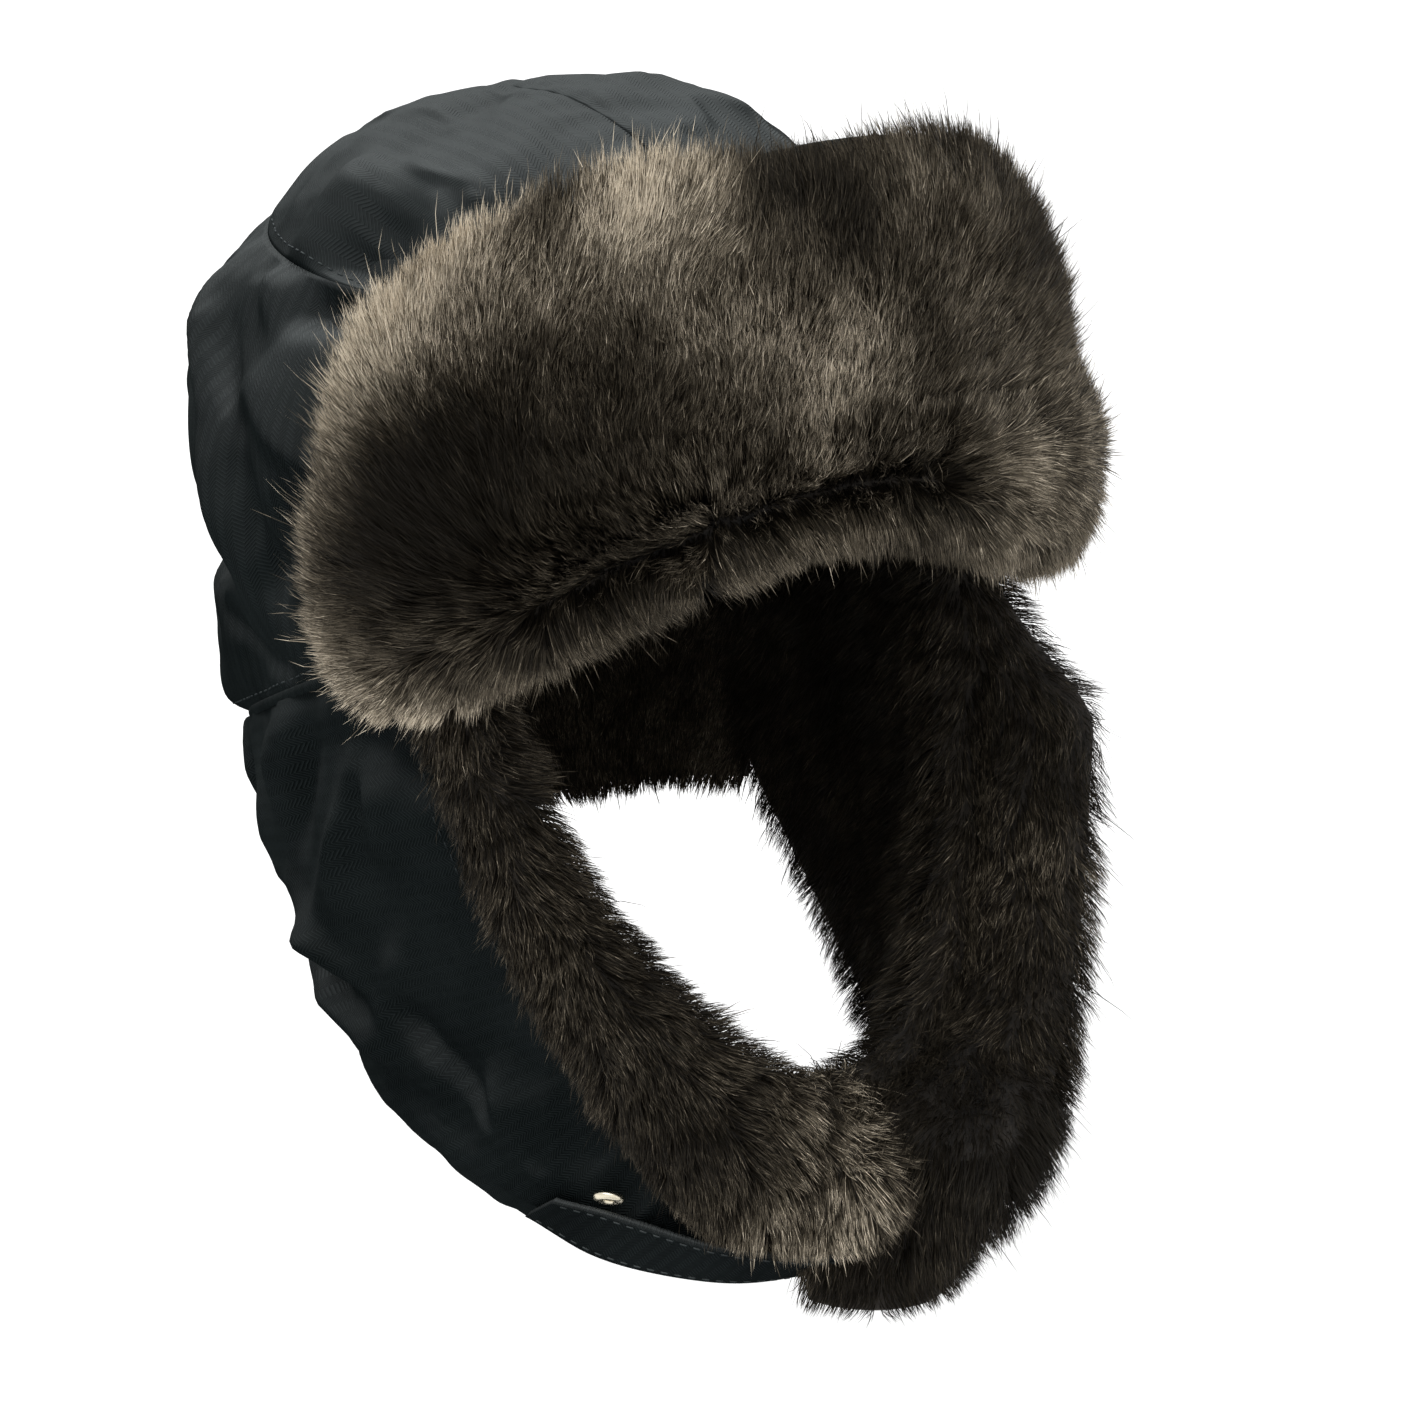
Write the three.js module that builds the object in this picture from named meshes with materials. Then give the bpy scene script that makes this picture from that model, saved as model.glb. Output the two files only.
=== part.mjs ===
// A padded trapper hat: domed crown, fur-faced visor turned up against it, fur-lined ear flaps that
// meet under the chin, and a chin strap with a press stud. Millimetres, +Z up.
// The wearer faces -Y, so the wearer's right is -X. The origin is the middle of the head at brow height.
// Angles are degrees round the head from the front, positive towards the wearer's left.

import * as THREE from 'three';
import { mergeVertices } from 'three/addons/utils/BufferGeometryUtils.js';

// Driving dimensions of the hood, the smooth outer form of the shell fabric.
const HALF_WIDTH = 95;
const HALF_DEPTH = 110.5;
const CROWN_HEIGHT = 125;
const PLAN_POWER = 2.15;
const DOME_POWER = 2.23;
const CROWN_LEAN = 0.06;
const WAIST = 0.06;
const WAIST_HEIGHT = 14;
const WAIST_SPREAD_UP = 24;
const WAIST_SPREAD_DOWN = 60;
const TAPER_DEPTH = 150;
const SIDE_TAPER = 0.26;
const FRONT_TAPER = 0.1;
const BACK_TAPER = 0.34;
const CHEEK_NARROWING = 0.16;

// The band line, where the crown meets the flaps, is a plane tipped down towards the nape.
const BAND_MIDDLE = -6;
const BAND_TIP = 42;
const BAND_HEIGHT = 5;

// Layers, as distances outwards from the hood.
const SHELL = { outer: 0, inner: -1.2 };
const WADDING = { outer: -3.2, inner: -7.4 };
const LINING = { outer: -9.2, inner: -10.4 };
const SWEATBAND = { outer: -11.8, inner: -13.2, height: 28 };
const FLAP_WADDING = { outer: -2.6, inner: -5, reach: 0.7 };
const FLAP_FUR = { outer: -6.6, inner: -16 };
const SEAM_GAP = 0.4;

// Seam round the top of the crown's side wall.
const TOP_SEAM_HEIGHT = 94;
const TOP_SEAM_RISE = 8;

// Visor, measured up from the band line and outwards from the crown. Its ends hang lower.
const VISOR = { halfAngle: 64, cornerCut: 11, rise: 2, top: 80, endDrop: 17, standOff: 4, wallHeight: 60 };
const VISOR_BACKING = 1.2;
const VISOR_INTERLINING = 2;
const VISOR_GAP = 1.1;
const VISOR_FUR = { edge: 9, crown: 17 };

// Flaps. Outlines are [degrees from the front towards the flap's own side, height].
const FLAP_REAR_ANGLE = 122;
const FLAP_TOP_GAP = 3;
const FUR_FRONT = [[47, 10], [43, -15], [40, -40], [34, -65], [24, -86], [10, -98], [0, -102]];
const SHELL_FRONT = [
  [63, 10], [60, -30], [57, -60], [54, -90], [50, -113], [42, -130], [28, -138], [0, -142],
];
const FLAP_BOTTOM = [
  [122, -32], [122, -58], [120, -84], [106, -111], [88, -129], [70, -139], [56, -145], [42, -148],
  [20, -151], [0, -151],
];
const ROLL_BULGE = [-4, 7, 10, 6, -6.6];
const ROLL_START = 0.15;
const TIP_START = 0.75;
const NAPE = { bottom: -84, sag: 5, furHem: 3 };

// The right tip stops short of the middle and the left one runs past it, with a fuller roll of fur.
const SIDES = [
  { name: 'right', sign: -1, tip: 3.6, roll: 1 },
  { name: 'left', sign: 1, tip: -2.2, roll: 2.2 },
];

// Chin strap: its upper and lower edges as [degrees, height, distance outwards].
const STRAP_THICKNESS = 2;
const STRAP_UPPER = [
  [-58, -128, 4], [-48, -134, 4], [-36, -141, 4], [-24, -147, 4], [-10, -151, 4], [8, -153.5, 4],
  [26, -153, 4],
];
const STRAP_LOWER = [
  [-65, -139, 4], [-56, -146, 4], [-44, -152, 2], [-30, -156, -5], [-12, -157.5, -9],
  [8, -158, -11], [26, -158, -11],
];

// Press stud: the socket on the right flap and the stud on the strap.
const SOCKET = { angle: -51, height: -124, radius: 5.5, hole: 2, depth: 1.8, lift: 0.8 };
const STUD = { angle: -54, height: -138, radius: 4, post: 1.6, depth: 1.2, lift: 0.9 };

const COLOURS = {
  shell: { color: 0x1b2123, roughness: 0.62, metalness: 0 },
  lining: { color: 0x16191b, roughness: 0.7, metalness: 0 },
  wadding: { color: 0xd8d6cf, roughness: 0.95, metalness: 0 },
  interlining: { color: 0xb9b5aa, roughness: 0.9, metalness: 0 },
  fur: { color: 0x544a3f, roughness: 0.95, metalness: 0 },
  strap: { color: 0x1a2022, roughness: 0.6, metalness: 0 },
  snap: { color: 0xcfc4a8, roughness: 0.25, metalness: 1 },
};

const radians = THREE.MathUtils.degToRad;
const lerp = THREE.MathUtils.lerp;
const smooth = THREE.MathUtils.smoothstep;

function bandLine(angle) {
  return BAND_MIDDLE + BAND_TIP * Math.cos(radians(angle));
}

function topSeam(angle) {
  return TOP_SEAM_HEIGHT - TOP_SEAM_RISE * Math.cos(radians(angle));
}

function waist(z) {
  const spread = z < WAIST_HEIGHT ? WAIST_SPREAD_DOWN : WAIST_SPREAD_UP;
  return 1 - WAIST * Math.exp(-(((z - WAIST_HEIGHT) / spread) ** 2));
}

function domeWidth(z) {
  const share = THREE.MathUtils.clamp(z / CROWN_HEIGHT, 0, 1);
  return (1 - share ** DOME_POWER) ** (1 / DOME_POWER);
}

// A point on the hood at an angle and height, moved outwards by `out`.
function hood(angle, z, out) {
  const sine = Math.sin(radians(angle));
  const cosine = Math.cos(radians(angle));
  const plan = (Math.abs(sine) ** PLAN_POWER + Math.abs(cosine) ** PLAN_POWER) ** (-1 / PLAN_POWER);
  const depth = Math.max(0, -z / TAPER_DEPTH);
  const endTaper = cosine > 0 ? FRONT_TAPER : BACK_TAPER;
  const round = domeWidth(z);
  const sideways = (HALF_WIDTH * waist(z) * (1 - SIDE_TAPER * depth ** 1.5) + out) * round;
  const lengthways = (HALF_DEPTH * waist(z) * (1 - endTaper * depth ** 1.3) + out) * round;
  const cheek = 1 - CHEEK_NARROWING * Math.min(1, depth * 1.6) * Math.max(0, cosine);
  const height = z > 0 ? z * (1 + out / CROWN_HEIGHT) : z;
  return new THREE.Vector3(
    sideways * plan * sine * cheek,
    CROWN_LEAN * Math.max(0, z) - lengthways * plan * cosine,
    height,
  );
}

// A closed sheet: a box of cells whose corners are moved to place(u, v, w), each from 0 to 1.
function sheet(cellsU, cellsV, place) {
  const box = new THREE.BoxGeometry(1, 1, 1, cellsU, cellsV, 1);
  box.deleteAttribute('normal');
  box.deleteAttribute('uv');
  const solid = mergeVertices(box, 1e-4);
  const corners = solid.getAttribute('position');
  for (let i = 0; i < corners.count; i += 1) {
    const point = place(corners.getX(i) + 0.5, corners.getY(i) + 0.5, corners.getZ(i) + 0.5);
    corners.setXYZ(i, point.x, point.y, point.z);
  }
  return facingOut(solid);
}

function signedVolume(geometry) {
  const corners = geometry.getAttribute('position');
  const order = geometry.getIndex();
  const [a, b, c] = [new THREE.Vector3(), new THREE.Vector3(), new THREE.Vector3()];
  let total = 0;
  for (let i = 0; i < order.count; i += 3) {
    a.fromBufferAttribute(corners, order.getX(i));
    b.fromBufferAttribute(corners, order.getX(i + 1));
    c.fromBufferAttribute(corners, order.getX(i + 2));
    total += a.dot(b.cross(c));
  }
  return total;
}

function facingOut(geometry) {
  if (signedVolume(geometry) < 0) {
    const order = geometry.getIndex();
    for (let i = 0; i < order.count; i += 3) {
      const first = order.getX(i);
      order.setX(i, order.getX(i + 1));
      order.setX(i + 1, first);
    }
  }
  geometry.computeVertexNormals();
  return geometry;
}

const hat = new THREE.Group();

function add(name, geometry, look) {
  const mesh = new THREE.Mesh(geometry, new THREE.MeshStandardMaterial(COLOURS[look]));
  mesh.name = name;
  hat.add(mesh);
  return mesh;
}

// Crown shell: a wall on each side, and an oval top in two halves joined along the middle.
function crownWall(sign) {
  return sheet(18, 5, (u, v, w) => {
    const angle = lerp(0.15, 179.85, u);
    const low = bandLine(angle) + BAND_HEIGHT / 2 + SEAM_GAP;
    const z = lerp(low, topSeam(angle) - SEAM_GAP, v);
    return hood(sign * angle, z, lerp(SHELL.inner, SHELL.outer, w));
  });
}

function crownTop(sign) {
  return sheet(14, 6, (u, v, w) => {
    const angle = lerp(4, 176, u);
    const rim = domeWidth(topSeam(angle) + SEAM_GAP);
    const sine = Math.sin(radians(angle));
    const cosine = Math.cos(radians(angle));
    const plan = (Math.abs(sine) ** PLAN_POWER + Math.abs(cosine) ** PLAN_POWER) ** (-1 / PLAN_POWER);
    const across = lerp(SEAM_GAP / HALF_WIDTH, rim * plan * sine, v);
    const along = lerp(-rim * cosine, -rim * plan * cosine, v);
    const size = (Math.abs(across) ** PLAN_POWER + Math.abs(along) ** PLAN_POWER) ** (1 / PLAN_POWER);
    const z = CROWN_HEIGHT * (1 - size ** DOME_POWER) ** (1 / DOME_POWER);
    const heading = THREE.MathUtils.radToDeg(Math.atan2(across, -along));
    return hood(sign * heading, z, lerp(SHELL.inner, SHELL.outer, w));
  });
}

// A whole dome in one sheet: a square grid rounded into a disc, then pulled down over the head.
function dome(layer, hem) {
  return sheet(16, 16, (u, v, w) => {
    const a = 2 * u - 1;
    const b = 2 * v - 1;
    const across = a * Math.sqrt(1 - (b * b) / 2);
    const along = b * Math.sqrt(1 - (a * a) / 2);
    const reach = Math.min(1, Math.hypot(across, along));
    const heading = THREE.MathUtils.radToDeg(Math.atan2(across, -along));
    const low = bandLine(heading) + hem;
    const z = lerp(low, CROWN_HEIGHT, Math.cos((reach * Math.PI) / 2));
    return hood(heading, z, lerp(layer.inner, layer.outer, w));
  });
}

// A ring round the head, closed but for its own narrow joining seam at the back.
function ring(layer, bottom, top) {
  return sheet(40, 2, (u, v, w) => {
    const angle = lerp(-179.8, 179.8, u);
    const z = bandLine(angle) + lerp(bottom, top, v);
    return hood(angle, z, lerp(layer.inner, layer.outer, w));
  });
}

for (const side of SIDES) {
  add(`crown_side_${side.name}`, crownWall(side.sign), 'shell');
  add(`crown_top_${side.name}`, crownTop(side.sign), 'shell');
}
add('crown_band', ring(SHELL, -BAND_HEIGHT / 2, BAND_HEIGHT / 2), 'shell');
add('crown_wadding', dome(WADDING, 1), 'wadding');
add('crown_lining', dome(LINING, 0), 'lining');
add('sweatband', ring(SWEATBAND, 0, SWEATBAND.height), 'lining');

// Nape: the piece of the curtain behind the neck, between the two flaps.
function nape(layer, hem) {
  return sheet(10, 4, (u, v, w) => {
    const angle = lerp(FLAP_REAR_ANGLE + 0.8, 360 - FLAP_REAR_ANGLE - 0.8, u);
    const top = bandLine(angle) - FLAP_TOP_GAP;
    const sag = NAPE.sag * Math.abs(Math.cos(radians(angle)));
    return hood(angle, lerp(NAPE.bottom - sag - hem, top, v), lerp(layer.inner, layer.outer, w));
  });
}

add('nape_shell', nape(SHELL, 0), 'shell');
add('nape_wadding', nape(FLAP_WADDING, 0), 'wadding');
add('nape_fur', nape(FLAP_FUR, NAPE.furHem), 'fur');

// Visor: three layers that stand upright outside the crown.
function visorPoint(u, v, out) {
  const cut = VISOR.cornerCut * Math.abs(2 * v - 1) ** 5;
  const angle = lerp(-1, 1, u) * (VISOR.halfAngle - cut);
  const low = VISOR.rise - VISOR.endDrop * (angle / VISOR.halfAngle) ** 2;
  const z = bandLine(angle) + lerp(low, VISOR.top, v);
  const base = hood(angle, Math.min(z, VISOR.wallHeight), VISOR.standOff + out);
  base.z = z;
  return base;
}

function visorLayer(inner, outer) {
  return sheet(18, 7, (u, v, w) => visorPoint(u, v, lerp(inner, outer, w)));
}

function visorFur(inner) {
  return sheet(18, 7, (u, v, w) => {
    const ends = 1 - Math.abs(2 * u - 1) ** 8;
    const edges = 1 - Math.abs(2 * v - 1) ** 3;
    return visorPoint(u, v, inner + w * (VISOR_FUR.edge + VISOR_FUR.crown * ends * edges));
  });
}

const interliningAt = VISOR_BACKING + VISOR_GAP;
const furAt = interliningAt + VISOR_INTERLINING + VISOR_GAP;
add('visor_backing', visorLayer(0, VISOR_BACKING), 'shell');
add('visor_interlining', visorLayer(interliningAt, interliningAt + VISOR_INTERLINING), 'interlining');
add('visor_fur', visorFur(furAt), 'fur');

// Flaps: strips that run from the band line down the cheek and forward under the chin.
function outline(points) {
  return new THREE.SplineCurve(points.map(([angle, z]) => new THREE.Vector2(angle, z)));
}

const furFront = outline(FUR_FRONT);
const shellFront = outline(SHELL_FRONT);
const flapBottom = outline(FLAP_BOTTOM);

// Moves a place on a flap's outline onto the hood. The row at u = 0 lies along the band line.
function flapPoint(side, u, angle, level, out) {
  const heading = angle + side.tip * smooth(u, TIP_START, 1);
  const ceiling = bandLine(heading) - FLAP_TOP_GAP;
  return hood(side.sign * heading, u === 0 ? ceiling : Math.min(level, ceiling - 1), out);
}

// A layer of a flap: u runs from the band line to the chin, v from the front edge to the rear.
function flapLayer(side, layer, inset, reach) {
  return sheet(16, 6, (u, v, w) => {
    const from = shellFront.getPoint(u * reach);
    const to = flapBottom.getPoint(u * reach);
    const across = lerp(inset, 1 - inset, v);
    const angle = lerp(from.x, to.x, across);
    const level = lerp(from.y, to.y, across);
    return flapPoint(side, u * reach, angle, level, lerp(layer.inner, layer.outer, w));
  });
}

// Flap fur: a thick roll in front of the shell's edge, then the lining behind the shell.
function flapFur(side) {
  const rollRows = ROLL_BULGE.length - 1;
  const rows = 2 * rollRows;
  return sheet(18, rows, (u, v, w) => {
    const row = Math.round(v * rows);
    const inRoll = row <= rollRows;
    const edge = shellFront.getPoint(u);
    const from = inRoll ? furFront.getPoint(u) : edge;
    const to = inRoll ? edge : flapBottom.getPoint(u);
    const share = inRoll ? row / rollRows : (row - rollRows) / rollRows;
    const bulge = ROLL_BULGE[Math.min(row, rollRows)];
    const swell = side.roll * smooth(u, 0, ROLL_START);
    const outer = Math.min(bulge, 0) + Math.max(bulge, 0) * swell;
    const angle = lerp(from.x, to.x, share);
    const level = lerp(from.y, to.y, share);
    return flapPoint(side, u, angle, level, lerp(FLAP_FUR.inner, outer, w));
  });
}

for (const side of SIDES) {
  add(`${side.name}_flap_shell`, flapLayer(side, SHELL, 0, 1), 'shell');
  add(`${side.name}_flap_wadding`, flapLayer(side, FLAP_WADDING, 0.03, FLAP_WADDING.reach), 'wadding');
  add(`${side.name}_flap_fur`, flapFur(side), 'fur');
}

// Chin strap: a flat band that lies on the right flap, turns under the chin and is sewn to the left.
function strapEdge(points) {
  const places = points.map(([angle, z, out]) => hood(angle, z, out));
  return new THREE.CatmullRomCurve3(places);
}

function chinStrap() {
  const upper = strapEdge(STRAP_UPPER);
  const lower = strapEdge(STRAP_LOWER);
  return sheet(28, 2, (u, v, w) => {
    const from = lower.getPoint(u);
    const to = upper.getPoint(u);
    const along = upper.getTangent(u).add(lower.getTangent(u));
    const away = along.cross(new THREE.Vector3().subVectors(to, from)).normalize();
    return from.lerp(to, v).addScaledVector(away, w * STRAP_THICKNESS);
  });
}

add('chin_strap', chinStrap(), 'strap');

// A small turned part whose axis stands off the hood at a place on it.
function turned(name, profile, place) {
  const points = profile.map(([radius, height]) => new THREE.Vector2(radius, height));
  const lathe = new THREE.LatheGeometry(points, 24);
  lathe.deleteAttribute('normal');
  lathe.deleteAttribute('uv');
  const mesh = add(name, facingOut(mergeVertices(lathe, 1e-4)), 'snap');
  const foot = hood(place.angle, place.height, 0);
  const along = hood(place.angle + 1, place.height, 0).sub(foot);
  const up = hood(place.angle, place.height + 1, 0).sub(foot);
  const outwards = along.cross(up).normalize();
  mesh.quaternion.setFromUnitVectors(new THREE.Vector3(0, 1, 0), outwards);
  mesh.position.copy(foot.addScaledVector(outwards, place.lift));
}

turned('snap_socket', [
  [SOCKET.hole, 0], [SOCKET.radius, 0], [SOCKET.radius, SOCKET.depth * 0.4],
  [SOCKET.radius - 1, SOCKET.depth], [SOCKET.hole + 1, SOCKET.depth],
  [SOCKET.hole, SOCKET.depth * 0.5], [SOCKET.hole, 0],
], SOCKET);
turned('snap_stud', [
  [0, 0], [STUD.post, 0], [STUD.post, STUD.depth * 0.5], [STUD.radius, STUD.depth * 0.6],
  [STUD.radius, STUD.depth], [0, STUD.depth],
], STUD);

export default hat;
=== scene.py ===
"""Looks of a padded trapper hat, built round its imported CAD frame.

The wearer faces -Y, so the wearer's right is -X. Shapes are worked out in millimetres and made in metres.
Angles are degrees round the head from the front, positive towards the wearer's left. The hood is the smooth
outer form of the shell, as in the CAD source; a place on it is an angle, a height and a distance outwards.
"""
import math
from itertools import product

import bpy
import numpy as np
from mathutils import Matrix, Vector, kdtree
from mathutils.bvhtree import BVHTree


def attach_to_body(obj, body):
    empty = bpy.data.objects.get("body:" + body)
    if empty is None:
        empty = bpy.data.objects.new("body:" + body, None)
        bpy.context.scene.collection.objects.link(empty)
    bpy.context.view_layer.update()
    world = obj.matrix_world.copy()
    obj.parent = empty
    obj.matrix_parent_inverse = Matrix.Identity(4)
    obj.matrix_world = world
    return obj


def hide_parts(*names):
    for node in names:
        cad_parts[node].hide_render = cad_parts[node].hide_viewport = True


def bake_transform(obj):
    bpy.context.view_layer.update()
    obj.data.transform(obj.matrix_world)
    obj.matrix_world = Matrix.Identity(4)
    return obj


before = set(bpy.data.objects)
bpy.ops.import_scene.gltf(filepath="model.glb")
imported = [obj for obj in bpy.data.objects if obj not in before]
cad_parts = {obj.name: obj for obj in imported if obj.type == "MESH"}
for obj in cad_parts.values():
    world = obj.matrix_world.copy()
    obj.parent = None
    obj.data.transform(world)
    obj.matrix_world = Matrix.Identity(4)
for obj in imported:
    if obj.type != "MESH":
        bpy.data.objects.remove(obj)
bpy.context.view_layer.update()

MM = 0.001

# The hood.
HALF_WIDTH, HALF_DEPTH, CROWN_HEIGHT = 95, 110.5, 125
PLAN_POWER, DOME_POWER, CROWN_LEAN = 2.15, 2.23, 0.06
WAIST, WAIST_HEIGHT, WAIST_SPREAD_UP, WAIST_SPREAD_DOWN = 0.06, 14, 24, 60
TAPER_DEPTH, SIDE_TAPER, FRONT_TAPER, BACK_TAPER = 150, 0.26, 0.1, 0.34
SIDE_TAPER_POWER, END_TAPER_POWER = 1.5, 1.3
CHEEK_NARROWING, CHEEK_RATE = 0.16, 1.6
BAND_MIDDLE, BAND_TIP = -6, 42
TOP_SEAM_HEIGHT, TOP_SEAM_RISE = 94, 8

# Shell panels: cloth over wadding, sunk a little at their seams.
PAD_THICKNESS = 6
SEAM_SINK, PIPING_REACH = 1.6, 1.4
TOP_STITCHES_ABOVE, BAND_STITCHES_ABOVE = 2.2, 3.4
SIDE_PUFF, TOP_PUFF, FLAP_PUFF = 2.4, 0.6, 1.6
SIDE_SWELL, TOP_SWELL, FLAP_SWELL = 2.8, 0.9, 2.2
SWELL_FRAMES = 20
CLOTH_SETTINGS = {
    "quality": 6, "mass": 0.3, "tension_stiffness": 15, "compression_stiffness": 15, "shear_stiffness": 8,
    "bending_stiffness": 2.0, "shrink_min": -0.03, "use_pressure": True, "uniform_pressure_force": 1.2,
}
LINING_OUT, QUILT_LINES, QUILT_DEPTH, QUILT_THICKNESS = -9.2, 9, 1.2, 0.8
SWEATBAND_OUT, SWEATBAND_HEIGHT, SWEATBAND_THICKNESS = -11.8, 28, 1.4

# Visor.
VISOR_HALF_ANGLE, VISOR_CORNER_CUT = 64, 11
VISOR_RISE, VISOR_TOP, VISOR_END_DROP = 2, 80, 17
VISOR_STAND_OFF, VISOR_WALL_HEIGHT = 4, 60
VISOR_CORE, VISOR_FULLNESS = 5.4, 13.5
VISOR_BACK_OUT, VISOR_CLOTH_THICKNESS = 2.6, 1.2
VISOR_SPAN = 240
VISOR_FUR_TOP = [76, 77, 79, 75.5, 71, 73, 73, 68, 62]
VISOR_FUR_FOOT = [0, 0, 0, 0, -1, -6, -12, -11, -6]

# The parting in the visor's fur, and the fur's lighter and darker patches as (share along, share up, radius,
# change of shade).
PARTING_START, PARTING_END, PARTING_HEIGHT = 0.2, 0.58, 0.12
GROOVE_DEPTH, GROOVE_RISE, GROOVE_WIDTH = 4.6, 0.02, 0.07
VISOR_TONES = [
    (0.06, 0.92, 22, 7.0), (0.3, 0.95, 24, 4.8), (0.2, 0.97, 10, -2.5), (0.0, 0.4, 26, 2.8),
    (0.0, 0.05, 22, 3.8), (0.13, 0.42, 22, -7.4), (0.18, 0.7, 16, 1.0), (0.33, 0.66, 18, 0.6),
    (0.41, 0.9, 14, -2.2), (0.5, 0.8, 14, -2.6), (0.3, 0.42, 16, -1.4), (0.25, 0.2, 16, -0.8),
    (0.47, 0.42, 20, 3.9), (0.62, 0.95, 18, 1.4), (0.6, 0.6, 16, 0.3), (0.5, 0.1, 24, -0.4),
    (0.38, 0.08, 20, 0.2), (0.78, 0.65, 18, -1.8), (0.82, 0.2, 24, 1.6), (0.68, 0.3, 16, 1.6),
    (0.12, 0.12, 14, 1.0), (0.95, 0.6, 20, 1.2),
]

# Flaps. Outlines are [degrees towards the flap's own side, height].
FLAP_REAR_ANGLE = 122
TIP_START, TIP_OUT = 0.75, -5
FUR_FRONT = [(47, 10), (43, -15), (40, -40), (34, -65), (24, -86), (10, -98), (0, -102)]
SHELL_FRONT = [(62, 10), (58.5, -30), (55, -60), (51, -90), (46.5, -113), (39, -130), (27, -138), (0, -142)]
FLAP_BOTTOM = [
    (122, -32), (122, -58), (120, -83), (106, -111), (88, -132), (70, -144), (56, -148), (42, -149),
    (20, -150), (0, -150),
]
NAPE_BOTTOM, NAPE_SAG = -84, 5
NAPE_FUR_OUT, NAPE_BACK_OUT = -10.0, -7.4

# What differs between the sides: how far the cloth's and the fur's tips turn from the outlines, how full
# the fur's roll is along the flap and at its end, how far the end is tucked in, how far the fur's outer edge
# drops back over the shell and lifts off it, the pile's length and change of shade (the left flap's deeper
# change is painted shade on the far side), and how crumpled the cloth is.
SIDES = {
    "right": {
        "sign": -1, "tip": 3.6, "fur_tip": -3, "roll": 1.1, "end": 3.4, "tuck": 0, "drop": 0.2, "lift": 5,
        "pile": 11, "shade": -1.3, "crumple": 1.3,
    },
    "left": {
        "sign": 1, "tip": -2.2, "fur_tip": -17, "roll": 5.9, "end": 1.5, "tuck": 6, "drop": 2.7, "lift": 13,
        "pile": 13.5, "shade": -1.7, "crumple": 1.05,
    },
}

# Section of the flap fur's backing, from the shell's edge over the roll to the lining: how far forward from
# the shell's edge to the fur's front (negative runs back under the shell), and the distance outwards.
ROLL_SECTION = [
    (0.02, -5), (0.1, -1), (0.25, 3), (0.5, 4.5), (0.72, 2), (0.88, -3), (0.93, -8), (0.8, -11.5),
    (0.4, -12), (0, -12), (-0.35, -11.5), (-0.7, -11), (-0.97, -9),
]
ROLL_CREST = 0.27

# Chin strap: its edges as [degrees, height, distance outwards].
STRAP_THICKNESS = 1.8
STRAP_UPPER = [
    (-58, -128, 4), (-48, -133, 4), (-36, -138.5, 4), (-24, -143, 4), (-10, -146, 4), (8, -148, 3),
    (26, -149, 2),
]
STRAP_LOWER = [
    (-65, -138, 4), (-56, -145, 4), (-44, -150, 2), (-30, -153.5, -3), (-12, -156.5, -8), (8, -158, -11),
    (26, -158, -11),
]

# Numbers of strands in each pile of fur, the most that one piece holds, and the lengths of the pile.
VISOR_STRANDS, FLAP_STRANDS, NAPE_STRANDS = 190000, 76000, 38000
STRANDS_IN_A_PIECE = 38000
VISOR_PILE, NAPE_PILE = 14.5, 9.5


# ---------------------------------------------------------------- shapes

def smooth(value, low, high):
    share = np.clip((np.asarray(value, float) - low) / (high - low), 0, 1)
    return share * share * (3 - 2 * share)


def unit(vectors):
    return vectors / np.maximum(np.linalg.norm(vectors, axis=-1, keepdims=True), 1e-9)


def blend_between(a, b, share):
    return a + (b - a) * share


def band_line(angle):
    return BAND_MIDDLE + BAND_TIP * np.cos(np.radians(angle))


def top_seam(angle):
    return TOP_SEAM_HEIGHT - TOP_SEAM_RISE * np.cos(np.radians(angle))


def plan(sine, cosine):
    return (np.abs(sine) ** PLAN_POWER + np.abs(cosine) ** PLAN_POWER) ** (-1 / PLAN_POWER)


def dome_width(z):
    return (1 - np.clip(z / CROWN_HEIGHT, 0, 1) ** DOME_POWER) ** (1 / DOME_POWER)


def hood(angle, z, out):
    """The point on the hood at an angle and height, moved outwards."""
    angle, z, out = np.broadcast_arrays(*(np.asarray(value, float) for value in (angle, z, out)))
    sine, cosine = np.sin(np.radians(angle)), np.cos(np.radians(angle))
    spread = np.where(z < WAIST_HEIGHT, WAIST_SPREAD_DOWN, WAIST_SPREAD_UP)
    waist = 1 - WAIST * np.exp(-(((z - WAIST_HEIGHT) / spread) ** 2))
    depth = np.maximum(0, -z / TAPER_DEPTH)
    end_taper = np.where(cosine > 0, FRONT_TAPER, BACK_TAPER)
    half_width = HALF_WIDTH * waist * (1 - SIDE_TAPER * depth ** SIDE_TAPER_POWER)
    half_depth = HALF_DEPTH * waist * (1 - end_taper * depth ** END_TAPER_POWER)
    sideways, lengthways = (half_width + out) * dome_width(z), (half_depth + out) * dome_width(z)
    cheek = 1 - CHEEK_NARROWING * np.minimum(1, depth * CHEEK_RATE) * np.maximum(0, cosine)
    return np.stack([
        sideways * plan(sine, cosine) * sine * cheek,
        CROWN_LEAN * np.maximum(0, z) - lengthways * plan(sine, cosine) * cosine,
        np.where(z > 0, z * (1 + out / CROWN_HEIGHT), z),
    ], axis=-1)


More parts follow.
